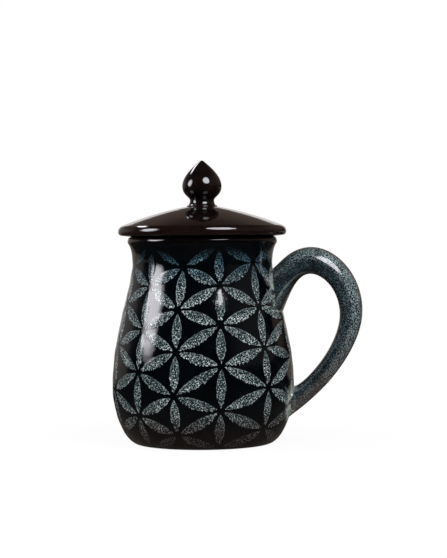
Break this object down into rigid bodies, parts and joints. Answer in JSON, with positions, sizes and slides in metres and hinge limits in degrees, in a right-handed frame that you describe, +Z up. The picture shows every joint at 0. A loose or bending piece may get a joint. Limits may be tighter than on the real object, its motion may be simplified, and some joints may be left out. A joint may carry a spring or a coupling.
{
  "type": "lidded mug",
  "caption": "Pear-shaped stoneware mug with a loop handle and a lift-off domed lid with a drop-shaped knob, in dark glossy glaze with a pale petal lattice.",
  "frame": {"origin": "centre of the foot, on the surface that the mug stands on", "axes": "+Z up along the turning axis, +X towards the handle"},
  "size_m": [0.1238, 0.09, 0.139],
  "materials": {
    "petal_glaze": "glossy black glaze with a pale blue-grey petal lattice",
    "mottled_glaze": "glossy blue-grey glaze, mottled and breaking to brown at the edges",
    "brown_glaze": "glossy brown-black glaze"
  },
  "bodies": {
    "mug": {"mug_body": "petal_glaze", "handle": "mottled_glaze"},
    "lid": {"lid": "brown_glaze", "lid_locating_ring": "brown_glaze", "knob": "brown_glaze"}
  },
  "joints": [
    {"name": "lid_lift", "type": "slide", "parent": "mug", "child": "lid", "axis": [0, 0, 1], "range_m": [0, 0.1]}
  ]
}
